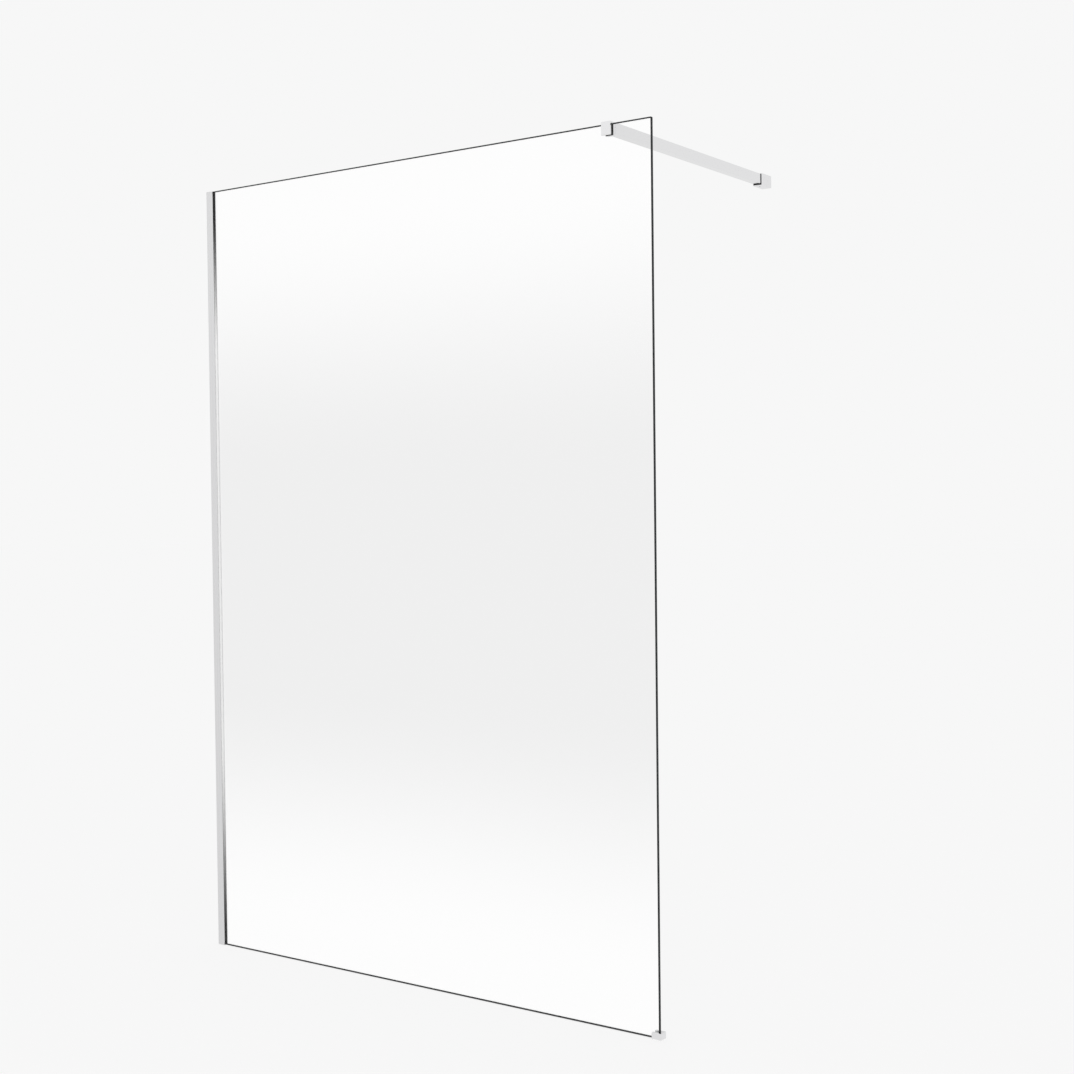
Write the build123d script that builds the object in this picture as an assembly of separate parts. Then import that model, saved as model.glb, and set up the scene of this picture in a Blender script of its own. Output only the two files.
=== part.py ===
from build123d import *
import os

# Walk-in shower screen: a fixed glass pane held in a slim wall channel, steadied at its
# top edge by a square bar that runs back to the side wall, and standing in a floor shoe
# at its free corner. Sizes are in millimetres.
# X runs along the glass from the wall face at X = 0 to the free edge.
# Y is square to the glass, with the glass mid-plane at Y = 0 and the bar towards +Y.
# Z is up, with the floor at Z = 0.

# Glass pane
PANE_HEIGHT = 2000.0
PANE_WIDTH = 1355.0
GLASS_THICKNESS = 8.0
GLASS_ARRIS = 1.5  # polished bevel along every edge
PAD_THICKNESS = 1.0  # setting pads that the glass stands on

# Wall channel, an aluminium extrusion
CHANNEL_DROP = 1.0  # from the top of the glass down to the end of the channel
CHANNEL_DEPTH = 22.0  # from the wall to the mouth
CHANNEL_CHEEK = 1.2
CHANNEL_WEB = 2.2
CHANNEL_CORNER = 0.5
EDGE_SETBACK = 10.0  # from the wall to the hidden edge of the glass
SCREW_LINE_DEPTH = 0.4  # drill guide along the inside of the web
SCREW_HOLE_RADIUS = 2.25
SCREW_HEAD_RADIUS = 4.2
SCREW_COUNT = 4
END_SCREW_DISTANCE = 100.0  # from each end of the channel to the nearest screw

# Glazing seals, one each side of the glass inside the channel
SEAL_THICKNESS = 0.9
SEAL_FIN = 0.6  # pitch and depth of the fins that press on the glass
SEAL_DEPTH = 10.5  # how far the seal reaches into the channel
SEAL_NOSE = 0.4  # how far the seal stays back from the mouth
RIB_WIDTH = 2.8
RIB_HEIGHT = 0.4
RIB_SETBACK = 4.5  # from the mouth to the near side of the rib
RIB_CLEARANCE = 0.1

# Cap on top of the channel
CAP_PLATE = 0.8
CAP_LEG_HEIGHT = 9.0
CAP_LEG_THICKNESS = 2.0

# Clearances
GLASS_CLEARANCE = 0.1  # between the glass and what slides along it
FIT_CLEARANCE = 0.1  # between nested pieces that don't turn
THREAD_CLEARANCE = 0.05  # between a screw and its hole

# Top clamp, a saddle over the top edge of the glass
CLAMP_WIDTH = 20.0
CLAMP_JAW = 10.0  # rear jaw, front to back
CLAMP_HEIGHT = 29.5
CLAMP_BRIDGE = 4.0  # metal above the slot
CLAMP_INSET = 111.0  # from the free edge of the glass to the middle of the rear jaw
FRONT_PLATE_WIDTH = 24.0  # front jaw, flush with the rear jaw towards the free edge
FRONT_PLATE_THICKNESS = 4.0
CLAMP_LINER = 0.5
SPIGOT_LENGTH = 30.0
METAL_EDGE = 0.8  # rounding on the cast and machined fittings

# Clamp screw and the disc that it presses against the liner
CLAMP_SCREW_RADIUS = 4.0
CLAMP_SCREW_LENGTH = 12.0
CLAMP_SCREW_KEY = 4.0  # hexagon across flats
DISC_RADIUS = 5.0
DISC_THICKNESS = 1.6

# Stabiliser bar, a rectangular tube
BAR_WIDTH = 20.0
BAR_HEIGHT = 25.0
BAR_WALL = 1.5
BAR_CORNER = 1.0
BAR_END_GAP = 18.4  # room in the socket past the bar's end, for adjustment

# Small set screws in the bar, the socket and the shoe
SET_SCREW_RADIUS = 2.0
SET_SCREW_KEY = 2.0
SET_SCREW_INSET = 0.2  # below the surface that it is driven from
SPIGOT_SCREW_GRIP = 3.5  # depth of thread in the spigot
SPIGOT_SCREW_SETBACK = 12.0  # from the clamp to the bar's screw

# Wall socket for the far end of the bar
SIDE_WALL_DISTANCE = 763.0  # from the glass mid-plane to the side wall
SOCKET_DEPTH = 52.0
SOCKET_FLOOR = 4.0
SOCKET_SIDE_WALL = 1.5
SOCKET_TOP_WALL = 1.0
SOCKET_BOTTOM_WALL = 1.6
SOCKET_HOLE_RADIUS = 2.5
SOCKET_HEAD_RADIUS = 4.6
SOCKET_HOLE_SPACING = 12.0
SOCKET_SCREW_SETBACK = 14.0  # from the mouth to the set screw

# Liner sleeve between the bar and the socket
SLEEVE_SIDE = 1.45
SLEEVE_TOP = 0.4
SLEEVE_BOTTOM = 2.3
SLEEVE_RECESS = 1.0  # how far the sleeve stays back from the mouth

# Floor shoe at the free corner of the glass
SHOE_LENGTH = 24.0
SHOE_DEPTH = 22.0
SHOE_HEIGHT = 14.0
SHOE_GRIP = 16.0  # length of the glass edge inside the shoe
SHOE_LINER = 0.5
TAPE_THICKNESS = 2.0
TAPE_INSET = 0.6
SHOE_SCREW_HEIGHT = 8.0  # above the underside of the shoe

# Places that follow from the sizes above
glass_back = GLASS_THICKNESS / 2
glass_bottom = PAD_THICKNESS
glass_top = glass_bottom + PANE_HEIGHT
free_edge = EDGE_SETBACK + PANE_WIDTH
channel_length = glass_top - CHANNEL_DROP
screw_pitch = (channel_length - 2 * END_SCREW_DISTANCE) / (SCREW_COUNT - 1)
channel_inside = glass_back + GLASS_CLEARANCE + SEAL_THICKNESS
channel_outside = channel_inside + CHANNEL_CHEEK
clamp_middle = free_edge - CLAMP_INSET
clamp_slot = glass_back + GLASS_CLEARANCE + CLAMP_LINER
clamp_back = clamp_slot + CLAMP_JAW
clamp_ceiling = glass_top + GLASS_CLEARANCE + CLAMP_LINER
clamp_top = clamp_ceiling + CLAMP_BRIDGE
clamp_bottom = clamp_top - CLAMP_HEIGHT
bar_top = clamp_top
bar_middle = bar_top - BAR_HEIGHT / 2
bar_bottom = bar_top - BAR_HEIGHT
bar_length = SIDE_WALL_DISTANCE - SOCKET_FLOOR - BAR_END_GAP - clamp_back
spigot_width = BAR_WIDTH - 2 * (BAR_WALL + FIT_CLEARANCE)
spigot_height = BAR_HEIGHT - 2 * (BAR_WALL + FIT_CLEARANCE)
spigot_screw_y = clamp_back + SPIGOT_SCREW_SETBACK
socket_mouth = SIDE_WALL_DISTANCE - SOCKET_DEPTH
socket_half_hole = BAR_WIDTH / 2 + FIT_CLEARANCE + SLEEVE_SIDE
socket_half_width = socket_half_hole + SOCKET_SIDE_WALL
socket_hole_top = bar_top + FIT_CLEARANCE + SLEEVE_TOP
socket_hole_bottom = bar_bottom - FIT_CLEARANCE - SLEEVE_BOTTOM
socket_top = socket_hole_top + SOCKET_TOP_WALL
socket_bottom = socket_hole_bottom - SOCKET_BOTTOM_WALL
socket_screw_y = socket_mouth + SOCKET_SCREW_SETBACK
shoe_start = free_edge - SHOE_GRIP
shoe_end = shoe_start + SHOE_LENGTH
shoe_bottom = TAPE_THICKNESS
shoe_top = shoe_bottom + SHOE_HEIGHT
shoe_slot = glass_back + GLASS_CLEARANCE + SHOE_LINER
shoe_slot_end = free_edge + GLASS_CLEARANCE + SHOE_LINER
shoe_screw_x = shoe_start + SHOE_GRIP / 2
shoe_screw_z = shoe_bottom + SHOE_SCREW_HEIGHT


def block(x, y, z):
    """A box between two limits along each axis."""
    size = Box(x[1] - x[0], y[1] - y[0], z[1] - z[0])
    return Pos((x[0] + x[1]) / 2, (y[0] + y[1]) / 2, (z[0] + z[1]) / 2) * size


def band(x, low, high, z):
    """Two boxes that mirror each other across the glass mid-plane."""
    return block(x, (-high, -low), z) + block(x, (low, high), z)


def set_screw(radius, length, key):
    """A set screw with its point at the origin and its hexagon socket at +Z."""
    chamfer_size = radius / 5
    profile = Polyline(
        (0, 0),
        (radius - 2 * chamfer_size, 0),
        (radius, 2 * chamfer_size),
        (radius, length - chamfer_size),
        (radius - chamfer_size, length),
        (0, length),
        close=True,
    )
    body = revolve(Plane.XZ * make_face(profile), Axis.Z)
    socket_depth = length * 0.45
    hexagon = extrude(RegularPolygon(key / 2, 6, major_radius=False), socket_depth)
    return body - Pos(0, 0, length - socket_depth) * hexagon


def countersunk_hole(radius, head_radius, thickness):
    """A screw hole along +Z through a plate on the XY plane, its head side at +Z."""
    hole = Pos(0, 0, thickness / 2) * Cylinder(radius, thickness)
    head_depth = head_radius - radius
    head = Cone(radius, head_radius, head_depth)
    return hole + Pos(0, 0, thickness - head_depth / 2) * head


# Wall channel and what stays in it

def wall_channel():
    """U extrusion with a rib groove in each cheek and screw holes through its web."""
    outline = Rectangle(CHANNEL_DEPTH, 2 * channel_outside, align=(Align.MIN, Align.CENTER))
    outline = fillet(outline.vertices(), CHANNEL_CORNER)
    slot_depth = CHANNEL_DEPTH - CHANNEL_WEB
    slot = Rectangle(slot_depth, 2 * channel_inside, align=(Align.MIN, Align.CENTER))
    groove = Rectangle(
        RIB_WIDTH + 2 * RIB_CLEARANCE,
        2 * (channel_inside + RIB_HEIGHT + RIB_CLEARANCE),
        align=(Align.MAX, Align.CENTER),
    )
    guide = Rotation(0, 0, 45) * Rectangle(2 * SCREW_LINE_DEPTH, 2 * SCREW_LINE_DEPTH)
    section = outline - Pos(CHANNEL_WEB, 0) * slot
    section -= Pos(CHANNEL_DEPTH - RIB_SETBACK + RIB_CLEARANCE, 0) * groove
    section -= Pos(CHANNEL_WEB, 0) * guide
    channel = extrude(section, channel_length)
    hole = Rotation(0, 90, 0) * countersunk_hole(SCREW_HOLE_RADIUS, SCREW_HEAD_RADIUS, CHANNEL_WEB)
    for number in range(SCREW_COUNT):
        channel -= Pos(0, 0, END_SCREW_DISTANCE + number * screw_pitch) * hole
    return channel


def rear_glazing_seal():
    """Seal strip with a rounded nose and fins towards the glass, held by a rib in the cheek's groove."""
    nose_x = CHANNEL_DEPTH - SEAL_NOSE
    strip = Rectangle(SEAL_DEPTH, SEAL_THICKNESS, align=(Align.MAX, Align.MAX))
    nose = strip.vertices().sort_by(Axis.X)[-2:].sort_by(Axis.Y)[0]
    strip = fillet(nose, SEAL_THICKNESS * 0.8)
    gap = make_face(Polyline((0, 0), (SEAL_FIN, 0), (SEAL_FIN, SEAL_FIN), close=True))
    fin_count = int((SEAL_DEPTH - 2 * SEAL_THICKNESS) / SEAL_FIN)
    for number in range(1, fin_count + 1):
        strip -= Pos(-SEAL_THICKNESS - number * SEAL_FIN, -SEAL_THICKNESS) * gap
    rib = Rectangle(RIB_WIDTH, RIB_HEIGHT, align=(Align.MAX, Align.MIN))
    section = Pos(nose_x, channel_inside) * strip
    section += Pos(CHANNEL_DEPTH - RIB_SETBACK, channel_inside) * rib
    return extrude(section, channel_length)


def front_glazing_seal():
    """The same strip on the outer side of the glass."""
    return mirror(rear_glazing_seal(), about=Plane.XZ)


def channel_top_cap():
    """Moulded cap over the channel's end, notched for the glass, with a leg behind it."""
    cap_top = channel_length + CAP_PLATE
    plate = block((0, CHANNEL_DEPTH), (-channel_outside, channel_outside), (channel_length, cap_top))
    plate = fillet(plate.edges().filter_by(Axis.Z), CHANNEL_CORNER)
    leg_start = CHANNEL_WEB + FIT_CLEARANCE
    leg_end = leg_start + CAP_LEG_THICKNESS
    leg_half = channel_inside - FIT_CLEARANCE
    leg = block((leg_start, leg_end), (-leg_half, leg_half), (channel_length - CAP_LEG_HEIGHT, channel_length))
    notch_half = glass_back + GLASS_CLEARANCE
    notch = block((leg_end, CHANNEL_DEPTH + 1), (-notch_half, notch_half), (channel_length - 1, cap_top + 1))
    return plate + leg - notch


def setting_pad(start, end):
    """Thin pad on the floor under the glass."""
    half = glass_back - GLASS_ARRIS / 2
    pad = block((start, end), (-half, half), (0, PAD_THICKNESS))
    return fillet(pad.edges().filter_by(Axis.Z), PAD_THICKNESS / 2)


def channel_setting_pad():
    """Pad inside the foot of the channel."""
    return setting_pad(EDGE_SETBACK + PAD_THICKNESS, CHANNEL_DEPTH - SEAL_NOSE)


# Glass pane and its floor shoe

def glass_pane():
    """Toughened pane with every edge bevelled."""
    pane = block((EDGE_SETBACK, free_edge), (-glass_back, glass_back), (glass_bottom, glass_top))
    return chamfer(pane.edges(), GLASS_ARRIS)


def shoe_screw_hole(radius, back):
    """Hole from the shoe's rear side to its slot, along Y."""
    depth = back - glass_back
    hole = Rotation(90, 0, 0) * Cylinder(radius, depth)
    return Pos(shoe_screw_x, glass_back + depth / 2, shoe_screw_z) * hole


def floor_shoe():
    """Block with an open slot for the corner of the glass, closed at its free end."""
    half = SHOE_DEPTH / 2
    shoe = block((shoe_start, shoe_end), (-half, half), (shoe_bottom, shoe_top))
    bottom = shoe.edges().group_by(Axis.Z)[0]
    shoe = fillet(shoe.edges() - bottom, METAL_EDGE)
    slot = block((shoe_start - 1, shoe_slot_end), (-shoe_slot, shoe_slot), (0, shoe_top + 1))
    return shoe - slot - shoe_screw_hole(SET_SCREW_RADIUS + THREAD_CLEARANCE, half + 1)


def shoe_liner():
    """Clear liner folded round the corner of the glass inside the shoe."""
    inner = glass_back + GLASS_CLEARANCE
    inner_end = free_edge + GLASS_CLEARANCE
    top = shoe_top - TAPE_INSET
    outside = block((shoe_start, shoe_slot_end), (-shoe_slot, shoe_slot), (shoe_bottom, top))
    inside = block((shoe_start - 1, inner_end), (-inner, inner), (0, shoe_top))
    return outside - inside


def shoe_base_tape():
    """Bonding tape under the shoe, set in from its outline."""
    half = SHOE_DEPTH / 2 - TAPE_INSET
    start = shoe_start + TAPE_INSET
    end = shoe_end - TAPE_INSET
    tape = block((start, end), (-half, half), (0, TAPE_THICKNESS))
    slot_half = shoe_slot + TAPE_INSET
    slot_end = shoe_slot_end + TAPE_INSET
    return tape - block((start - 1, slot_end), (-slot_half, slot_half), (-1, TAPE_THICKNESS + 1))


def shoe_setting_pad():
    """Pad under the glass inside the shoe's slot."""
    return setting_pad(shoe_start + PAD_THICKNESS, free_edge - PAD_THICKNESS)


def shoe_set_screw():
    """Set screw through the rear cheek of the shoe, bearing on the liner."""
    length = SHOE_DEPTH / 2 - SET_SCREW_INSET - shoe_slot
    screw = Rotation(-90, 0, 0) * set_screw(SET_SCREW_RADIUS, length, SET_SCREW_KEY)
    return Pos(shoe_screw_x, shoe_slot, shoe_screw_z) * screw


# Top clamp

def along_y(radius, start, end):
    """Cylinder on the bar's centre line between two places along Y."""
    rod = Rotation(90, 0, 0) * Cylinder(radius, end - start)
    return Pos(clamp_middle, (start + end) / 2, bar_middle) * rod


def clamp_spigot():
    """Stub that the bar slides over, with a chamfered nose."""
    half_x = spigot_width / 2
    half_z = spigot_height / 2
    spigot = block(
        (clamp_middle - half_x, clamp_middle + half_x),
        (clamp_slot + METAL_EDGE, clamp_back + SPIGOT_LENGTH),
        (bar_middle - half_z, bar_middle + half_z),
    )
    spigot = fillet(spigot.edges().filter_by(Axis.Y), METAL_EDGE)
    return chamfer(spigot.faces().sort_by(Axis.Y)[-1].edges(), METAL_EDGE / 2)


def clamp_body():
    """Thin wide front jaw and deep rear jaw joined over the glass, with a hollow spigot behind."""
    left = clamp_middle - CLAMP_WIDTH / 2
    right = clamp_middle + CLAMP_WIDTH / 2
    z = (clamp_bottom, clamp_top)
    plate = block((right - FRONT_PLATE_WIDTH, right), (-clamp_slot - FRONT_PLATE_THICKNESS, -clamp_slot), z)
    plate = fillet(plate.edges() - plate.faces().sort_by(Axis.Y)[-1].edges(), METAL_EDGE)
    rear = block((left, right), (-clamp_slot, clamp_back), z)
    rear = fillet(rear.edges() - rear.faces().sort_by(Axis.Y)[0].edges(), METAL_EDGE)
    slot = block((left - 1, right + 1), (-clamp_slot, clamp_slot), (clamp_bottom - 1, clamp_ceiling))
    body = plate + (rear - slot) + clamp_spigot()
    disc_end = clamp_slot + DISC_THICKNESS
    body -= along_y(DISC_RADIUS + FIT_CLEARANCE, clamp_slot - 1, disc_end)
    body -= along_y(CLAMP_SCREW_RADIUS + THREAD_CLEARANCE, clamp_slot, clamp_back + SPIGOT_LENGTH + 1)
    hole = Cylinder(SET_SCREW_RADIUS + THREAD_CLEARANCE, SPIGOT_SCREW_GRIP + BAR_WALL)
    hole_middle = bar_bottom + (SPIGOT_SCREW_GRIP + BAR_WALL) / 2
    return body - Pos(clamp_middle, spigot_screw_y, hole_middle + FIT_CLEARANCE) * hole


def clamp_liner():
    """Rubber saddle between the jaws and the glass."""
    half = CLAMP_WIDTH / 2
    x = (clamp_middle - half, clamp_middle + half)
    inner = glass_back + GLASS_CLEARANCE
    outside = block(x, (-clamp_slot, clamp_slot), (clamp_bottom, clamp_ceiling))
    inside = block((x[0] - 1, x[1] + 1), (-inner, inner), (clamp_bottom - 1, glass_top + GLASS_CLEARANCE))
    return outside - inside


def clamp_pressure_disc():
    """Disc in the rear jaw that spreads the screw's force over the liner."""
    disc = along_y(DISC_RADIUS, clamp_slot, clamp_slot + DISC_THICKNESS - FIT_CLEARANCE)
    return chamfer(disc.faces().sort_by(Axis.Y)[0].edges(), DISC_THICKNESS / 8)


def clamp_set_screw():
    """Large set screw on the bar's centre line, reached along the hollow spigot."""
    screw = Rotation(-90, 0, 0) * set_screw(CLAMP_SCREW_RADIUS, CLAMP_SCREW_LENGTH, CLAMP_SCREW_KEY)
    start = clamp_slot + DISC_THICKNESS
    return Pos(clamp_middle, start, bar_middle) * screw


# Stabiliser bar

def stabiliser_bar():
    """Rectangular tube from the clamp into the wall socket."""
    section_plane = Plane((clamp_middle, clamp_back, bar_middle), x_dir=(-1, 0, 0), z_dir=(0, 1, 0))
    outside = RectangleRounded(BAR_WIDTH, BAR_HEIGHT, BAR_CORNER)
    inside = RectangleRounded(BAR_WIDTH - 2 * BAR_WALL, BAR_HEIGHT - 2 * BAR_WALL, BAR_CORNER / 2)
    tube = extrude(section_plane * (outside - inside), bar_length)
    hole = Cylinder(SET_SCREW_RADIUS + THREAD_CLEARANCE, 2 * BAR_WALL)
    return tube - Pos(clamp_middle, spigot_screw_y, bar_bottom + BAR_WALL / 2) * hole


def bar_set_screw():
    """Set screw that locks the bar to the spigot from below."""
    length = BAR_WALL + SPIGOT_SCREW_GRIP - SET_SCREW_INSET
    screw = Rotation(180, 0, 0) * set_screw(SET_SCREW_RADIUS, length, SET_SCREW_KEY)
    return Pos(clamp_middle, spigot_screw_y, bar_bottom + SET_SCREW_INSET + length) * screw


# Wall socket

def socket_hollow(start, end, side, top, bottom):
    """Rounded box along the bar, with its walls given as distances from the bar."""
    half = BAR_WIDTH / 2 + side
    hollow = block(
        (clamp_middle - half, clamp_middle + half),
        (start, end),
        (bar_bottom - bottom, bar_top + top),
    )
    return fillet(hollow.edges().filter_by(Axis.Y), BAR_CORNER)


def wall_socket():
    """Cup for the bar's end, screwed to the side wall through its floor."""
    body = block(
        (clamp_middle - socket_half_width, clamp_middle + socket_half_width),
        (socket_mouth, SIDE_WALL_DISTANCE),
        (socket_bottom, socket_top),
    )
    wall_side = body.edges().group_by(Axis.Y)[-1]
    body = fillet(body.edges() - wall_side, METAL_EDGE)
    sleeve_end = SIDE_WALL_DISTANCE - SOCKET_FLOOR
    body -= socket_hollow(
        socket_mouth - 1,
        sleeve_end,
        FIT_CLEARANCE + SLEEVE_SIDE,
        FIT_CLEARANCE + SLEEVE_TOP,
        FIT_CLEARANCE + SLEEVE_BOTTOM,
    )
    hole = Rotation(90, 0, 0) * countersunk_hole(SOCKET_HOLE_RADIUS, SOCKET_HEAD_RADIUS, SOCKET_FLOOR)
    for side in (-1, 1):
        body -= Pos(clamp_middle, SIDE_WALL_DISTANCE, bar_middle + side * SOCKET_HOLE_SPACING / 2) * hole
    thread = Cylinder(SET_SCREW_RADIUS + THREAD_CLEARANCE, 2 * SOCKET_BOTTOM_WALL)
    return body - Pos(clamp_middle, socket_screw_y, socket_bottom + SOCKET_BOTTOM_WALL / 2) * thread


def socket_liner():
    """Black sleeve that centres the bar in the socket, with a hole for the screw."""
    start = socket_mouth + SLEEVE_RECESS
    end = SIDE_WALL_DISTANCE - SOCKET_FLOOR - FIT_CLEARANCE
    outside = socket_hollow(start, end, SLEEVE_SIDE + FIT_CLEARANCE, SLEEVE_TOP + FIT_CLEARANCE,
                            SLEEVE_BOTTOM + FIT_CLEARANCE)
    inside = socket_hollow(start - 1, end + 1, FIT_CLEARANCE, FIT_CLEARANCE, FIT_CLEARANCE)
    hole = Cylinder(SET_SCREW_RADIUS + THREAD_CLEARANCE, 2 * SLEEVE_BOTTOM + 1)
    return outside - inside - Pos(clamp_middle, socket_screw_y, bar_bottom - SLEEVE_BOTTOM / 2) * hole


def socket_set_screw():
    """Set screw up through the socket's underside, bearing on the bar."""
    length = bar_bottom - FIT_CLEARANCE - socket_bottom - SET_SCREW_INSET
    screw = Rotation(180, 0, 0) * set_screw(SET_SCREW_RADIUS, length, SET_SCREW_KEY)
    return Pos(clamp_middle, socket_screw_y, bar_bottom - FIT_CLEARANCE) * screw


pieces = (
    wall_channel,
    front_glazing_seal,
    rear_glazing_seal,
    channel_top_cap,
    channel_setting_pad,
    glass_pane,
    floor_shoe,
    shoe_liner,
    shoe_base_tape,
    shoe_setting_pad,
    shoe_set_screw,
    clamp_body,
    clamp_liner,
    clamp_pressure_disc,
    clamp_set_screw,
    stabiliser_bar,
    bar_set_screw,
    wall_socket,
    socket_liner,
    socket_set_screw,
)

os.makedirs("parts", exist_ok=True)
for piece in pieces:
    export_step(piece(), f"parts/{piece.__name__}.step")
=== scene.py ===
import math

import bpy
from mathutils import Matrix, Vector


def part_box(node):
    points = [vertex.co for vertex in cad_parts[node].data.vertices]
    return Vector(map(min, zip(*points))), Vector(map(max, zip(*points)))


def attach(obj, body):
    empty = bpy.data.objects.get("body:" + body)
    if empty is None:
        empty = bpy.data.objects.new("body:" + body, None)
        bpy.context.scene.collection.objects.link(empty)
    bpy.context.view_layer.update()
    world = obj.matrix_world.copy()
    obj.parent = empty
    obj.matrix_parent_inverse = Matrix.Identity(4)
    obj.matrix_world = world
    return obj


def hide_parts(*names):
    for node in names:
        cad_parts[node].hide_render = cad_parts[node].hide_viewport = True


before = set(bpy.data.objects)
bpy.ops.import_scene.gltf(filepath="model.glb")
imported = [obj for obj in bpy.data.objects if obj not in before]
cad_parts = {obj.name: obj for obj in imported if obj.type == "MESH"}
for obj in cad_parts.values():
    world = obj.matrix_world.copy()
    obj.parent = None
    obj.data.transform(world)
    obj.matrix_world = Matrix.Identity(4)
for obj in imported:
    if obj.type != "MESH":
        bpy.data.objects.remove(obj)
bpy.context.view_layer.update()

scene = bpy.context.scene
scene.view_settings.view_transform = "Standard"

# Camera
# It stands about four metres from the screen, a little above the middle of the pane, and looks at
# the outer face from 35 degrees round towards the free edge.
CAMERA_PLACE = (3.1084, -2.9348, 1.1865)  # m
CAMERA_TURN = 35.032  # degrees round from square to the glass
CAMERA_DIP = 1.462  # degrees down from level
CAMERA_ROLL = -0.641  # degrees
SENSOR_WIDTH = 36.0  # mm
FOCAL_LENGTH = 52.742  # mm

camera_data = bpy.data.cameras.new("screen_camera")
camera_data.sensor_width = SENSOR_WIDTH
camera_data.lens = FOCAL_LENGTH
camera = bpy.data.objects.new("screen_camera", camera_data)
scene.collection.objects.link(camera)
camera.matrix_world = (
    Matrix.Translation(CAMERA_PLACE)
    @ Matrix.Rotation(math.radians(CAMERA_TURN), 4, "Z")
    @ Matrix.Rotation(math.radians(90 - CAMERA_DIP), 4, "X")
    @ Matrix.Rotation(math.radians(CAMERA_ROLL), 4, "Z")
)
scene.camera = camera

# Studio
# A plain pale room with one soft lamp. Through the glass it is dimmer level with the eye than above
# and below, in a band that is taller beyond the free edge. The glass mirrors it dimly, and metal
# mirrors it pale grey, brighter overhead on the open side and darker beyond the screen.
WHITE = "FFFFFF"
BACKGROUND = "F7F7F7"
ROOM_LIGHT = 0.95  # what falls on dull surfaces
BRIGHTEST = 2.0  # the brightness that white stands for in the ramps below
BEYOND_GLASS = (  # degrees above level, brightness
    (-90, 0.97),
    (-40, 0.99),
    (-24, 1.025),
    (-14.2, 1.025),
    (-6.5, 0.896),
    (1, 0.896),
    (9.8, 1.025),
    (24, 1.025),
    (40, 0.99),
    (90, 0.97),
)
MIRRORED_BY_GLASS = (
    (-90, 0.93),
    (-32, 0.90),
    (-18, 0.55),
    (14, 0.55),
    (32, 0.90),
    (90, 0.93),
)
OPEN_SIDE = (
    (-90, 0.82),
    (-20, 0.915),
    (0, 0.948),
    (11, 1.01),
    (20, 1.03),
    (90, 1.03),
)
FAR_SIDE = (
    (-90, 0.88),
    (-6, 0.88),
    (14, 0.78),
    (90, 0.78),
)
WALL_SIGHT = -0.72  # X of a line of sight past the channel
EDGE_SIGHT = -0.52  # X of a line of sight past the free edge
EDGE_SCALE = 0.83  # what heights there are multiplied by, which makes the dim band taller
OPEN_BLEND = 0.3  # Y over which the open side fades in and out
FAR_DIRECTION = (-0.51, 0.86, 0.0)
FAR_START = 0.75  # cosine of the angle from that direction where the far side begins
FAR_FULL = 0.92
KEY_PLACE = (2.4, -2.2, 3.9)  # m
KEY_TURN = 38  # degrees round the upright axis
KEY_TILT = 42  # degrees up from straight down
KEY_SIZE = 3.0  # m
KEY_POWER = 10.0  # W


def linear(hex_colour):
    """A linear colour with full alpha from an sRGB hex value."""
    channels = [int(hex_colour[start:start + 2], 16) / 255 for start in (0, 2, 4)]
    return tuple(c / 12.92 if c <= 0.04045 else ((c + 0.055) / 1.055) ** 2.4 for c in channels) + (1.0,)


def add_node(tree, kind, inputs=None, **settings):
    """A node with its settings, and its sockets filled with values or linked to other sockets."""
    node = tree.nodes.new(kind)
    for name, value in settings.items():
        setattr(node, name, value)
    for name, value in (inputs or {}).items():
        if isinstance(value, bpy.types.NodeSocket):
            tree.links.new(value, node.inputs[name])
        else:
            node.inputs[name].default_value = value
    return node


def set_stops(ramp, stops):
    """Gives a colour ramp these stops, each a position from 0 to 1 and a colour, eased between them."""
    ramp.color_ramp.interpolation = "EASE"
    elements = ramp.color_ramp.elements
    while len(elements) < len(stops):
        elements.new(1.0)
    for element, (position, colour) in zip(elements, stops):
        element.position = position
        element.color = colour


world = bpy.data.worlds.new("studio_room")
scene.world = world
world.use_nodes = True
room = world.node_tree
room.nodes.clear()
ray = add_node(room, "ShaderNodeLightPath")
direction = add_node(room, "ShaderNodeTexCoord").outputs["Generated"]
sight = add_node(room, "ShaderNodeSeparateXYZ", {0: direction})
widening = add_node(room, "ShaderNodeMapRange", {
    "Value": sight.outputs["X"],
    "From Min": WALL_SIGHT,
    "From Max": EDGE_SIGHT,
    "To Min": 1.0,
    "To Max": EDGE_SCALE,
})
skies = []
for levels, scale in (
    (BEYOND_GLASS, widening.outputs["Result"]),
    (MIRRORED_BY_GLASS, 1.0),
    (OPEN_SIDE, 1.0),
    (FAR_SIDE, 1.0),
):
    rise = add_node(room, "ShaderNodeMath", {0: sight.outputs["Z"], 1: scale}, operation="MULTIPLY")
    span = add_node(room, "ShaderNodeMapRange",
                    {"Value": rise.outputs[0], "From Min": -1.0, "From Max": 1.0})
    ramp = add_node(room, "ShaderNodeValToRGB", {"Fac": span.outputs["Result"]})
    stops = []
    for angle, level in levels:
        position = (math.sin(math.radians(angle)) + 1) / 2
        stops.append((position, (level / BRIGHTEST,) * 3 + (1.0,)))
    set_stops(ramp, stops)
    sky = add_node(room, "ShaderNodeBackground", {"Color": ramp.outputs["Color"], "Strength": BRIGHTEST})
    skies.append(sky.outputs[0])
beyond_glass, mirrored_by_glass, open_side, far_side = skies
plain_sky = add_node(room, "ShaderNodeBackground", {"Color": linear(WHITE), "Strength": ROOM_LIGHT})
pale_sky = add_node(room, "ShaderNodeBackground", {"Color": linear(BACKGROUND), "Strength": 1.0})

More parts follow.
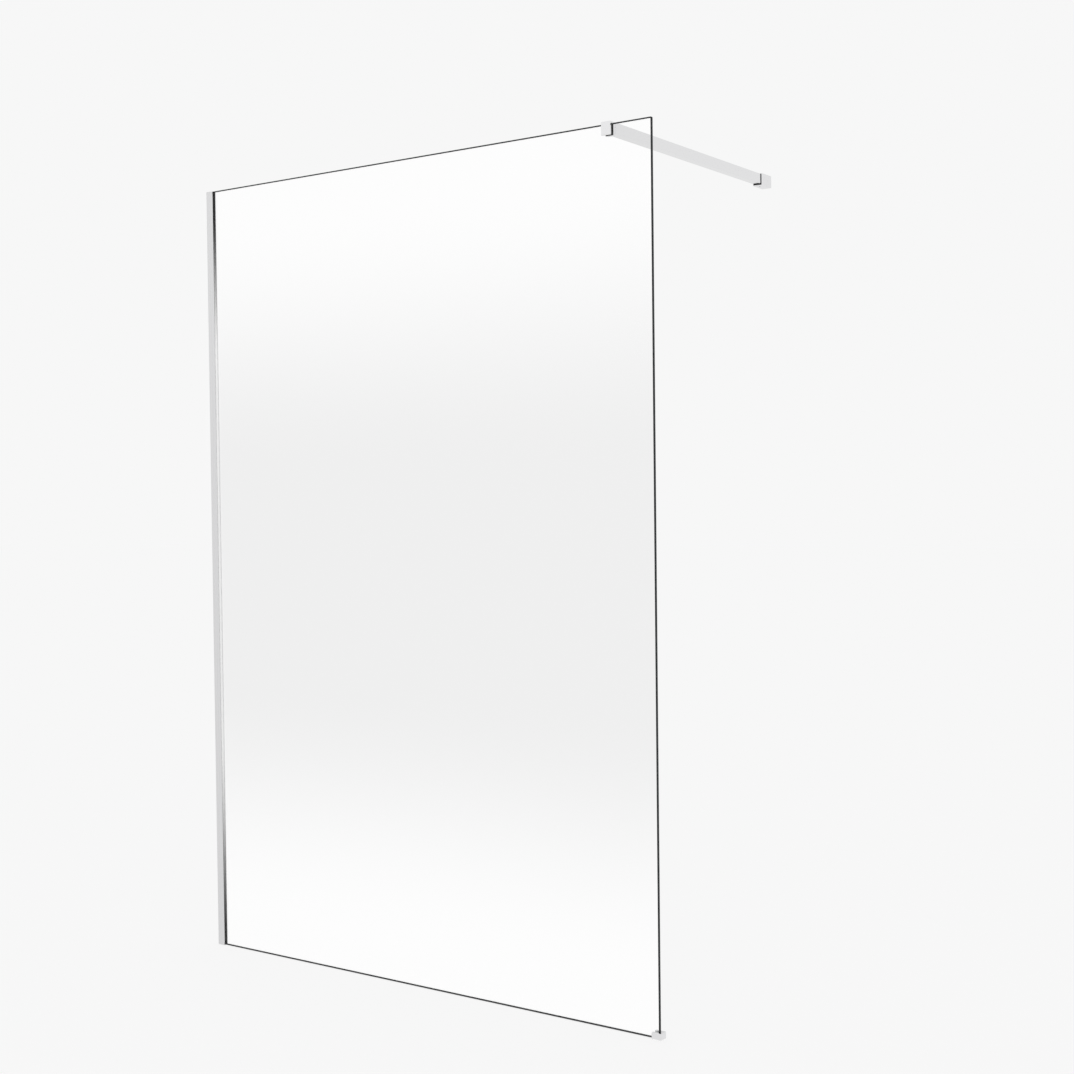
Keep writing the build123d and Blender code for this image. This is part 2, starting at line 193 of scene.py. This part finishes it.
outward = add_node(room, "ShaderNodeMapRange", {
    "Value": sight.outputs["Y"],
    "From Min": OPEN_BLEND,
    "From Max": -OPEN_BLEND,
    "To Max": 1.0,
})
nearness = add_node(room, "ShaderNodeVectorMath", {0: direction, 1: FAR_DIRECTION}, operation="DOT_PRODUCT")
farness = add_node(room, "ShaderNodeMapRange", {
    "Value": nearness.outputs["Value"],
    "From Min": FAR_START,
    "From Max": FAR_FULL,
})
seen = ray.outputs["Is Camera Ray"]
for kind in ("Is Transmission Ray", "Is Glossy Ray"):
    seen = add_node(room, "ShaderNodeMath", {0: seen, 1: ray.outputs[kind]}, operation="MAXIMUM").outputs[0]
shown = add_node(room, "ShaderNodeMixShader", {0: seen, 1: plain_sky.outputs[0], 2: pale_sky.outputs[0]})
for kind, amount, sky in (
    ("Is Glossy Ray", outward.outputs["Result"], open_side),
    ("Is Glossy Ray", farness.outputs["Result"], far_side),
    ("Is Glossy Ray", ray.outputs["Is Singular Ray"], mirrored_by_glass),
    ("Is Camera Ray", ray.outputs["Transparent Depth"], beyond_glass),
):
    share = add_node(room, "ShaderNodeMath", {0: ray.outputs[kind], 1: amount},
                     operation="MULTIPLY", use_clamp=True)
    shown = add_node(room, "ShaderNodeMixShader", {0: share.outputs[0], 1: shown.outputs[0], 2: sky})
add_node(room, "ShaderNodeOutputWorld", {"Surface": shown.outputs[0]})

lamp_data = bpy.data.lights.new("soft_key", "AREA")
lamp_data.shape = "RECTANGLE"
lamp_data.size = KEY_SIZE
lamp_data.size_y = KEY_SIZE
lamp_data.energy = KEY_POWER
lamp = bpy.data.objects.new("soft_key", lamp_data)
scene.collection.objects.link(lamp)
lamp.matrix_world = (
    Matrix.Translation(KEY_PLACE)
    @ Matrix.Rotation(math.radians(KEY_TURN), 4, "Z")
    @ Matrix.Rotation(math.radians(KEY_TILT), 4, "X")
)
lamp.visible_glossy = False

# Floor
# A plain pale painted floor. The camera sees it in the room's grey, with the screen's soft shadow
# kept faintly on it, and behind the glass it gives way to the room's own tones.
FLOOR_SIZE = 60.0  # m
FLOOR_WHITE = "FCFCFC"
SHADOW_SHARE = 0.12  # share of the lit paint, and so of the shadow, that the camera sees


def new_finish(name):
    """A new material and its node tree, with nothing in it yet."""
    finish = bpy.data.materials.new(name)
    finish.use_nodes = True
    finish.node_tree.nodes.clear()
    return finish, finish.node_tree


floor_paint, tree = new_finish("pale_floor_paint")
ray = add_node(tree, "ShaderNodeLightPath")
lit = add_node(tree, "ShaderNodeBsdfDiffuse", {"Color": linear(FLOOR_WHITE)})
even = add_node(tree, "ShaderNodeEmission", {"Color": linear(BACKGROUND), "Strength": 1.0})
seen = add_node(tree, "ShaderNodeMath",
                {0: ray.outputs["Is Camera Ray"], 1: ray.outputs["Is Transmission Ray"]},
                operation="MAXIMUM")
share = add_node(tree, "ShaderNodeMath", {0: seen.outputs[0], 1: 1 - SHADOW_SHARE}, operation="MULTIPLY")
paint = add_node(tree, "ShaderNodeMixShader", {0: share.outputs[0], 1: lit.outputs[0], 2: even.outputs[0]})
behind_glass = add_node(tree, "ShaderNodeMath",
                        {0: ray.outputs["Is Camera Ray"], 1: ray.outputs["Transparent Depth"]},
                        operation="MULTIPLY", use_clamp=True)
nothing = add_node(tree, "ShaderNodeBsdfTransparent")
surface = add_node(tree, "ShaderNodeMixShader",
                   {0: behind_glass.outputs[0], 1: paint.outputs[0], 2: nothing.outputs[0]})
add_node(tree, "ShaderNodeOutputMaterial", {"Surface": surface.outputs[0]})

bpy.ops.object.select_all(action="DESELECT")
bpy.ops.mesh.primitive_plane_add(size=FLOOR_SIZE, location=(0, 0, 0))
floor = bpy.context.active_object
floor.name = "studio_floor"
floor.visible_glossy = False
floor.data.materials.append(floor_paint)

# Glass pane
# Toughened clear float glass, 8 mm thick. Its edges are ground flat and polished, with a small bevel along
# each. They are painted dark grey with a faint mottle, painted shade for the dark view along the inside of
# the glass, so they show as thin dark lines round a pane that is almost clear.
MILLIMETRES = 1000  # in a metre
ARRIS = 0.0015  # m
ARRIS_STEPS = 2
SQUARE_ON = 0.999  # how nearly along Y the two large faces point
GLASS_TINT = "FFFFFF"
MIRROR_HEAD_ON = 0.045  # share of light that one face mirrors when seen square on
MIRROR_POWER = 5.0  # how steeply that share grows towards a glancing view
EDGE_PAINTED_SHADE_TONES = ((0.35, "191C1D"), (0.65, "2B2E2F"))  # place in the mottle's range, colour
EDGE_MOTTLE = 11.0  # mm
EDGE_ROUGHNESS = 0.22
EDGE_SHINE = 0.12  # low, because most light goes into the glass

clear_glass, tree = new_finish("clear_float_glass")
facing = add_node(tree, "ShaderNodeLayerWeight", {"Blend": 0.5})
steep = add_node(tree, "ShaderNodeMath", {0: facing.outputs["Facing"], 1: MIRROR_POWER}, operation="POWER")
share = add_node(tree, "ShaderNodeMath", {0: steep.outputs[0], 1: 1 - MIRROR_HEAD_ON, 2: MIRROR_HEAD_ON},
                 operation="MULTIPLY_ADD")
through = add_node(tree, "ShaderNodeBsdfTransparent", {"Color": linear(GLASS_TINT)})
mirror = add_node(tree, "ShaderNodeBsdfGlossy", {"Color": linear(WHITE), "Roughness": 0.0})
surface = add_node(tree, "ShaderNodeMixShader",
                   {0: share.outputs[0], 1: through.outputs[0], 2: mirror.outputs[0]})
add_node(tree, "ShaderNodeOutputMaterial", {"Surface": surface.outputs[0]})

polished_edge, tree = new_finish("polished_glass_edge")
place = add_node(tree, "ShaderNodeTexCoord").outputs["Object"]
mottle = add_node(tree, "ShaderNodeTexNoise",
                  {"Vector": place, "Scale": MILLIMETRES / EDGE_MOTTLE, "Detail": 3.0})
shade = add_node(tree, "ShaderNodeValToRGB", {"Fac": mottle.outputs["Fac"]})
# The edge colour is a dark grey with a random mottle, painted shade for the dark view into the glass.
set_stops(shade, [(position, linear(colour)) for position, colour in EDGE_PAINTED_SHADE_TONES])
surface = add_node(tree, "ShaderNodeBsdfPrincipled", {
    "Base Color": shade.outputs["Color"],
    "Roughness": EDGE_ROUGHNESS,
    "Specular IOR Level": EDGE_SHINE,
})
add_node(tree, "ShaderNodeOutputMaterial", {"Surface": surface.outputs[0]})

low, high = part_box("glass_pane")
bpy.ops.object.select_all(action="DESELECT")
bpy.ops.mesh.primitive_cube_add(size=1, location=(low + high) / 2, scale=high - low)
pane = bpy.context.active_object
pane.name = "toughened_pane"
bpy.ops.object.transform_apply(location=True, rotation=False, scale=True)
bpy.ops.object.mode_set(mode="EDIT")
bpy.ops.mesh.select_all(action="SELECT")
bpy.ops.mesh.bevel(offset=ARRIS, offset_type="OFFSET", segments=ARRIS_STEPS, profile=0.5, affect="EDGES")
bpy.ops.object.mode_set(mode="OBJECT")
pane.data.materials.append(clear_glass)
pane.data.materials.append(polished_edge)
for face in pane.data.polygons:
    face.material_index = 0 if abs(face.normal.y) > SQUARE_ON else 1
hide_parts("glass_pane")
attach(pane, "pane")

# Wall channel
# A slim aluminium extrusion, polished and bright anodised. The die leaves very fine lines along
# its length, which only soften what it mirrors.
CHANNEL_METAL = "DCDCDD"
CHANNEL_ROUGHNESS = (0.20, 0.34)
DIE_LINE_WIDTH = 0.6  # mm, drawn coarser than the real 0.1 mm so that it shows
DIE_LINE_LENGTH = 400.0  # mm
DIE_LINE_DEPTH = 0.05  # mm
DIE_LINE_RELIEF = 0.08  # share of that depth that shows


def carry_over(node_name, finish):
    """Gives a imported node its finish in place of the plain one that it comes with."""
    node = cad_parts[node_name]
    if not node.material_slots:
        node.data.materials.append(finish)
    for slot in node.material_slots:
        slot.link = "OBJECT"
        slot.material = finish


bright_aluminium, tree = new_finish("bright_anodised_aluminium")
place = add_node(tree, "ShaderNodeTexCoord").outputs["Object"]
lines = add_node(tree, "ShaderNodeMapping", {
    "Vector": place,
    "Scale": (
        MILLIMETRES / DIE_LINE_WIDTH,
        MILLIMETRES / DIE_LINE_WIDTH,
        MILLIMETRES / DIE_LINE_LENGTH,
    ),
})
streak = add_node(tree, "ShaderNodeTexNoise",
                  {"Vector": lines.outputs["Vector"], "Scale": 1.0, "Detail": 2.0})
gloss = add_node(tree, "ShaderNodeMapRange", {
    "Value": streak.outputs["Fac"],
    "To Min": CHANNEL_ROUGHNESS[0],
    "To Max": CHANNEL_ROUGHNESS[1],
})
relief = add_node(tree, "ShaderNodeBump", {
    "Height": streak.outputs["Fac"],
    "Strength": DIE_LINE_RELIEF,
    "Distance": DIE_LINE_DEPTH / MILLIMETRES,
})
surface = add_node(tree, "ShaderNodeBsdfPrincipled", {
    "Base Color": linear(CHANNEL_METAL),
    "Metallic": 1.0,
    "Roughness": gloss.outputs["Result"],
    "Normal": relief.outputs["Normal"],
})
add_node(tree, "ShaderNodeOutputMaterial", {"Surface": surface.outputs[0]})
carry_over("wall_channel", bright_aluminium)

# Channel cap
# A small cap that closes the top of the channel. It is moulded in pale grey plastic, with the fine
# even grain of a spark-eroded mould.
CAP_TONES = ((0.3, "CACACB"), (0.7, "D2D2D3"))  # place in the grain's range, colour
CAP_ROUGHNESS = 0.45
GRAIN_SIZE = 0.4  # mm
GRAIN_DEPTH = 0.03  # mm
GRAIN_RELIEF = 0.2

grained_plastic, tree = new_finish("moulded_grey_plastic")
place = add_node(tree, "ShaderNodeTexCoord").outputs["Object"]
grain = add_node(tree, "ShaderNodeTexNoise",
                 {"Vector": place, "Scale": MILLIMETRES / GRAIN_SIZE, "Detail": 2.0})
tone = add_node(tree, "ShaderNodeValToRGB", {"Fac": grain.outputs["Fac"]})
set_stops(tone, [(position, linear(colour)) for position, colour in CAP_TONES])
relief = add_node(tree, "ShaderNodeBump", {
    "Height": grain.outputs["Fac"],
    "Strength": GRAIN_RELIEF,
    "Distance": GRAIN_DEPTH / MILLIMETRES,
})
surface = add_node(tree, "ShaderNodeBsdfPrincipled", {
    "Base Color": tone.outputs["Color"],
    "Roughness": CAP_ROUGHNESS,
    "Normal": relief.outputs["Normal"],
})
add_node(tree, "ShaderNodeOutputMaterial", {"Surface": surface.outputs[0]})
carry_over("channel_top_cap", grained_plastic)

# Glazing seals
# Finned gaskets in clear vinyl each side of the glass. They are drawn as a metal mirror for the polished
# slot behind them, and their colour is painted by height: a painted highlight, as bright as the metal,
# along the middle of the screen, and painted shade, near black, towards both ends.
SEAL_PAINTED_LIGHT_AND_SHADE = (  # height above the floor in metres, colour
    (0.02, "262626"),
    (0.57, "FFFFFF"),
    (1.55, "FFFFFF"),
    (1.94, "080808"),
)
TONE_HEIGHT = 2.0  # metres that the tones' ramp spans
ROOT_PAINTED_LIGHT = "DCDCDD"  # painted in the channel's metal colour where a gasket meets the channel's cheek: a painted highlight over the shade of that recess
ROOT_START = 0.00465  # metres from the middle of the glass
ROOT_END = 0.00480
SEAL_ROUGHNESS = (0.08, 0.16)
SEAL_HAZE = 2.5  # mm

clear_gasket, tree = new_finish("clear_gasket_vinyl")
place = add_node(tree, "ShaderNodeTexCoord").outputs["Object"]
axes = add_node(tree, "ShaderNodeSeparateXYZ", {0: place})
# The colour is painted by height: painted light along the middle of the screen, painted shade towards both
# ends.
rise = add_node(tree, "ShaderNodeMapRange", {"Value": axes.outputs["Z"], "From Max": TONE_HEIGHT})
tone = add_node(tree, "ShaderNodeValToRGB", {"Fac": rise.outputs["Result"]})
set_stops(tone, [(height / TONE_HEIGHT, linear(colour)) for height, colour in SEAL_PAINTED_LIGHT_AND_SHADE])
# A band beside the channel's cheek is painted in its metal colour, painted light over the shade of that
# recess.
sideways = add_node(tree, "ShaderNodeMath", {0: axes.outputs["Y"]}, operation="ABSOLUTE")
root = add_node(tree, "ShaderNodeMapRange", {
    "Value": sideways.outputs[0],
    "From Min": ROOT_START,
    "From Max": ROOT_END,
})
tone = add_node(tree, "ShaderNodeMixRGB", {
    "Fac": root.outputs["Result"],
    "Color1": tone.outputs["Color"],
    "Color2": linear(ROOT_PAINTED_LIGHT),
})
haze = add_node(tree, "ShaderNodeTexNoise", {"Vector": place, "Scale": MILLIMETRES / SEAL_HAZE})
gloss = add_node(tree, "ShaderNodeMapRange", {
    "Value": haze.outputs["Fac"],
    "To Min": SEAL_ROUGHNESS[0],
    "To Max": SEAL_ROUGHNESS[1],
})
surface = add_node(tree, "ShaderNodeBsdfPrincipled", {
    "Base Color": tone.outputs["Color"],
    "Metallic": 1.0,
    "Roughness": gloss.outputs["Result"],
})
add_node(tree, "ShaderNodeOutputMaterial", {"Surface": surface.outputs[0]})
carry_over("front_glazing_seal", clear_gasket)
carry_over("rear_glazing_seal", clear_gasket)

# Chromed fittings
# The clamp, the bar, the wall socket and the floor shoe are brass or steel, polished and chrome
# plated. They mirror the pale room, with a faint orange-peel ripple left by the buffing wheel.
CHROME = "E6E6E7"
CHROME_ROUGHNESS = (0.05, 0.09)
RIPPLE_SIZE = 6.0  # mm
RIPPLE_DEPTH = 0.02  # mm
RIPPLE_RELIEF = 0.1

polished_chrome, tree = new_finish("polished_chrome_plate")
place = add_node(tree, "ShaderNodeTexCoord").outputs["Object"]
ripple = add_node(tree, "ShaderNodeTexNoise", {"Vector": place, "Scale": MILLIMETRES / RIPPLE_SIZE})
gloss = add_node(tree, "ShaderNodeMapRange", {
    "Value": ripple.outputs["Fac"],
    "To Min": CHROME_ROUGHNESS[0],
    "To Max": CHROME_ROUGHNESS[1],
})
relief = add_node(tree, "ShaderNodeBump", {
    "Height": ripple.outputs["Fac"],
    "Strength": RIPPLE_RELIEF,
    "Distance": RIPPLE_DEPTH / MILLIMETRES,
})
surface = add_node(tree, "ShaderNodeBsdfPrincipled", {
    "Base Color": linear(CHROME),
    "Metallic": 1.0,
    "Roughness": gloss.outputs["Result"],
    "Normal": relief.outputs["Normal"],
})
add_node(tree, "ShaderNodeOutputMaterial", {"Surface": surface.outputs[0]})
for node_name in ("clamp_body", "stabiliser_bar", "wall_socket", "floor_shoe"):
    carry_over(node_name, polished_chrome)

# Black liners
# The clamp's saddle and its disc are cut from soft black rubber, and the socket's sleeve is black
# nylon. All three are dull, with a fine speckle.
LINER_TONES = ((0.4, "0E0E0F"), (0.7, "1A1A1B"))  # place in the speckle's range, colour
LINER_ROUGHNESS = 0.7
LINER_SHINE = 0.2
SPECKLE_SIZE = 0.4  # mm
SPECKLE_DEPTH = 0.05  # mm
SPECKLE_RELIEF = 0.3

black_rubber, tree = new_finish("black_liner_rubber")
place = add_node(tree, "ShaderNodeTexCoord").outputs["Object"]
speckle = add_node(tree, "ShaderNodeTexNoise",
                   {"Vector": place, "Scale": MILLIMETRES / SPECKLE_SIZE, "Detail": 2.0})
tone = add_node(tree, "ShaderNodeValToRGB", {"Fac": speckle.outputs["Fac"]})
set_stops(tone, [(position, linear(colour)) for position, colour in LINER_TONES])
relief = add_node(tree, "ShaderNodeBump", {
    "Height": speckle.outputs["Fac"],
    "Strength": SPECKLE_RELIEF,
    "Distance": SPECKLE_DEPTH / MILLIMETRES,
})
surface = add_node(tree, "ShaderNodeBsdfPrincipled", {
    "Base Color": tone.outputs["Color"],
    "Roughness": LINER_ROUGHNESS,
    "Specular IOR Level": LINER_SHINE,
    "Normal": relief.outputs["Normal"],
})
add_node(tree, "ShaderNodeOutputMaterial", {"Surface": surface.outputs[0]})
for node_name in ("clamp_liner", "clamp_pressure_disc", "socket_liner"):
    carry_over(node_name, black_rubber)

# Setting pads and shoe liner
# Thin milky plastics that the glass stands on or is bedded in: polyethylene pads, and a vinyl liner
# folded round the corner of the glass. They are faintly clouded.
PAD_TONES = ((0.35, "CDD0CF"), (0.65, "DFE1E0"))  # place in the cloud's range, colour
PAD_ROUGHNESS = 0.5
CLOUD_SIZE = 3.0  # mm

milky_plastic, tree = new_finish("milky_polyethylene")
place = add_node(tree, "ShaderNodeTexCoord").outputs["Object"]
cloud = add_node(tree, "ShaderNodeTexNoise",
                 {"Vector": place, "Scale": MILLIMETRES / CLOUD_SIZE, "Detail": 3.0})
tone = add_node(tree, "ShaderNodeValToRGB", {"Fac": cloud.outputs["Fac"]})
set_stops(tone, [(position, linear(colour)) for position, colour in PAD_TONES])
surface = add_node(tree, "ShaderNodeBsdfPrincipled", {
    "Base Color": tone.outputs["Color"],
    "Roughness": PAD_ROUGHNESS,
})
add_node(tree, "ShaderNodeOutputMaterial", {"Surface": surface.outputs[0]})
for node_name in ("channel_setting_pad", "shoe_setting_pad", "shoe_liner"):
    carry_over(node_name, milky_plastic)

# Bonding tape
# Clear acrylic foam tape between the shoe and the floor. It is almost invisible, with a slight
# milky haze from the fine bubbles in it.
TAPE_CLEAR = "FAFAFA"
TAPE_HAZE = "F4F5F5"
HAZE_SHARE = (0.08, 0.2)
BUBBLE_SIZE = 0.5  # mm

clear_acrylic, tree = new_finish("clear_acrylic_tape")
place = add_node(tree, "ShaderNodeTexCoord").outputs["Object"]
bubbles = add_node(tree, "ShaderNodeTexNoise", {"Vector": place, "Scale": MILLIMETRES / BUBBLE_SIZE})
haze = add_node(tree, "ShaderNodeMapRange", {
    "Value": bubbles.outputs["Fac"],
    "To Min": HAZE_SHARE[0],
    "To Max": HAZE_SHARE[1],
})
clear = add_node(tree, "ShaderNodeBsdfTransparent", {"Color": linear(TAPE_CLEAR)})
milky = add_node(tree, "ShaderNodeBsdfDiffuse", {"Color": linear(TAPE_HAZE)})
surface = add_node(tree, "ShaderNodeMixShader",
                   {0: haze.outputs["Result"], 1: clear.outputs[0], 2: milky.outputs[0]})
add_node(tree, "ShaderNodeOutputMaterial", {"Surface": surface.outputs[0]})
carry_over("shoe_base_tape", clear_acrylic)

# Set screws
# Stainless steel screws with no head, turned from bar with a metric thread, a chamfer at both ends
# and a hexagon socket for the key. They are left plain, with a fine dull grain from the tool.
STEEL = "B4B4B5"
STEEL_ROUGHNESS = (0.25, 0.4)
TOOL_MARK = 0.25  # mm
TOOL_MARK_DEPTH = 0.03  # mm
TOOL_MARK_RELIEF = 0.15
THREAD_DEPTH = 0.5413  # of the pitch
THREAD_SHAPE = (  # rise and reach of the root, a flank, the crest and a flank, over the pitch
    (0.25, 0.0),
    (0.3125, THREAD_DEPTH),
    (0.125, 0.0),
    (0.3125, -THREAD_DEPTH),
)
THREAD_STEPS = 32  # round each turn
TURNS_BELOW = 3  # turns made past each end, and then cut off
TURNS_ABOVE = 2
END_MARGIN = 0.5  # of the pitch, left past both ends for the blank to trim
MERGE_DISTANCE = 0.001  # mm
BLANK_SIDES = 64
BLANK_MARGIN = 0.01  # mm outside the crests, so that they stay whole
CHAMFER = 0.6  # of the pitch
SOCKET_DEPTH = 1.2  # of the key
SOCKET_CONE = 0.3  # of the key, the drill's cone in the floor of the socket
SOCKET_OVERSHOOT = 1.0  # mm
UPWARD = 0.9  # how nearly up a face points to be the top one
SMOOTH_ANGLE = 30  # degrees
SET_SCREWS = (  # node, body, thread, pitch and key in mm, where the socket faces
    ("clamp_set_screw", "clamp_screw", 8.0, 1.25, 4.0, "+Y"),
    ("bar_set_screw", "bar_screw", 4.0, 0.7, 2.0, "-Z"),
    ("socket_set_screw", "socket_screw", 4.0, 0.7, 2.0, "-Z"),
    ("shoe_set_screw", "shoe_screw", 4.0, 0.7, 2.0, "+Y"),
)

turned_steel, tree = new_finish("turned_stainless_steel")
place = add_node(tree, "ShaderNodeTexCoord").outputs["Object"]
marks = add_node(tree, "ShaderNodeTexNoise", {"Vector": place, "Scale": MILLIMETRES / TOOL_MARK})
gloss = add_node(tree, "ShaderNodeMapRange", {
    "Value": marks.outputs["Fac"],
    "To Min": STEEL_ROUGHNESS[0],
    "To Max": STEEL_ROUGHNESS[1],
})
relief = add_node(tree, "ShaderNodeBump", {
    "Height": marks.outputs["Fac"],
    "Strength": TOOL_MARK_RELIEF,
    "Distance": TOOL_MARK_DEPTH / MILLIMETRES,
})
surface = add_node(tree, "ShaderNodeBsdfPrincipled", {
    "Base Color": linear(STEEL),
    "Metallic": 1.0,
    "Roughness": gloss.outputs["Result"],
    "Normal": relief.outputs["Normal"],
})
add_node(tree, "ShaderNodeOutputMaterial", {"Surface": surface.outputs[0]})


def select_alone(piece):
    """Selects one piece and makes it the active one."""
    bpy.ops.object.select_all(action="DESELECT")
    piece.select_set(True)
    bpy.context.view_layer.objects.active = piece


def apply_modifier(piece, kind, **settings):
    """Adds a modifier with its settings to a piece and applies it."""
    select_alone(piece)
    modifier = piece.modifiers.new(kind.lower(), kind)
    for name, value in settings.items():
        setattr(modifier, name, value)
    bpy.ops.object.modifier_apply(modifier=modifier.name)


def threaded_rod(radius, length, pitch):
    """A threaded rod along +Z in millimetres, a little longer at both ends than its length."""
    bpy.ops.object.select_all(action="DESELECT")
    bpy.ops.mesh.primitive_plane_add(
        size=pitch, location=(radius - THREAD_DEPTH * pitch, 0, -TURNS_BELOW * pitch))
    rod = bpy.context.active_object
    bpy.ops.object.transform_apply(location=True, rotation=False, scale=False)
    bpy.ops.object.mode_set(mode="EDIT")
    bpy.ops.mesh.select_mode(type="VERT")
    bpy.ops.mesh.select_all(action="SELECT")
    bpy.ops.mesh.merge(type="CENTER")
    for rise, reach in THREAD_SHAPE:
        bpy.ops.mesh.extrude_region_move(
            TRANSFORM_OT_translate={"value": (reach * pitch, 0, rise * pitch)})
    bpy.ops.object.mode_set(mode="OBJECT")
    turns = TURNS_BELOW + math.ceil(length / pitch) + TURNS_ABOVE
    apply_modifier(rod, "SCREW", screw_offset=pitch, iterations=turns, steps=THREAD_STEPS,
                   render_steps=THREAD_STEPS)
    bpy.ops.object.mode_set(mode="EDIT")
    bpy.ops.mesh.select_all(action="SELECT")
    bpy.ops.mesh.remove_doubles(threshold=MERGE_DISTANCE)
    for height, side in ((-END_MARGIN * pitch, -1), (length + END_MARGIN * pitch, 1)):
        bpy.ops.mesh.select_all(action="SELECT")
        bpy.ops.mesh.bisect(
            plane_co=(0, 0, height), plane_no=(0, 0, side), use_fill=True, clear_outer=True)
    bpy.ops.mesh.select_all(action="SELECT")
    bpy.ops.mesh.normals_make_consistent(inside=False)
    bpy.ops.object.mode_set(mode="OBJECT")
    return rod


def chamfered_blank(radius, length, chamfer):
    """A plain rod along +Z in millimetres, chamfered at both ends."""
    bpy.ops.object.select_all(action="DESELECT")
    bpy.ops.mesh.primitive_cylinder_add(
        vertices=BLANK_SIDES, radius=radius, depth=length, location=(0, 0, length / 2))
    blank = bpy.context.active_object
    bpy.ops.object.mode_set(mode="EDIT")
    bpy.ops.mesh.select_mode(type="EDGE")
    bpy.ops.mesh.select_all(action="DESELECT")
    bpy.ops.object.mode_set(mode="OBJECT")
    for edge in blank.data.edges:
        one_end, other_end = (blank.data.vertices[number].co.z for number in edge.vertices)
        edge.select = abs(one_end - other_end) < MERGE_DISTANCE
    bpy.ops.object.mode_set(mode="EDIT")
    bpy.ops.mesh.bevel(offset=chamfer, offset_type="OFFSET", segments=1, affect="EDGES")
    bpy.ops.object.mode_set(mode="OBJECT")
    return blank


def key_punch(key, top):
    """A hexagon with a cone below it, in millimetres, that cuts the key's socket down from the top."""
    bpy.ops.object.select_all(action="DESELECT")
    bpy.ops.mesh.primitive_cone_add(
        vertices=6, radius1=0.0, radius2=key / math.sqrt(3), depth=SOCKET_CONE * key,
        location=(0, 0, top - (SOCKET_DEPTH + SOCKET_CONE / 2) * key))
    punch = bpy.context.active_object
    bpy.ops.object.mode_set(mode="EDIT")
    bpy.ops.mesh.select_mode(type="FACE")
    bpy.ops.mesh.select_all(action="DESELECT")
    bpy.ops.object.mode_set(mode="OBJECT")
    for face in punch.data.polygons:
        face.select = face.normal.z > UPWARD
    bpy.ops.object.mode_set(mode="EDIT")
    bpy.ops.mesh.extrude_region_move(
        TRANSFORM_OT_translate={"value": (0, 0, SOCKET_DEPTH * key + SOCKET_OVERSHOOT)})
    bpy.ops.object.mode_set(mode="OBJECT")
    return punch


for node_name, body, thread, pitch, key, facing in SET_SCREWS:
    low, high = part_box(node_name)
    axis, turn, foot = {"+Y": (1, -90, low), "-Z": (2, 180, high)}[facing]
    length = (high[axis] - low[axis]) * MILLIMETRES
    screw = threaded_rod(thread / 2, length, pitch)
    screw.name = "threaded_" + node_name
    blank = chamfered_blank(thread / 2 + BLANK_MARGIN, length, CHAMFER * pitch)
    apply_modifier(screw, "BOOLEAN", operation="INTERSECT", solver="EXACT", object=blank)
    punch = key_punch(key, length)
    apply_modifier(screw, "BOOLEAN", operation="DIFFERENCE", solver="EXACT", object=punch)
    bpy.data.objects.remove(blank)
    bpy.data.objects.remove(punch)

    select_alone(screw)
    screw.location = (low + high) / 2
    screw.location[axis] = foot[axis]
    screw.rotation_euler.x = math.radians(turn)
    screw.scale = (1 / MILLIMETRES,) * 3
    bpy.ops.object.transform_apply(location=True, rotation=True, scale=True)
    bpy.ops.object.shade_smooth_by_angle(angle=math.radians(SMOOTH_ANGLE))
    screw.data.materials.clear()
    screw.data.materials.append(turned_steel)
    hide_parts(node_name)
    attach(screw, body)
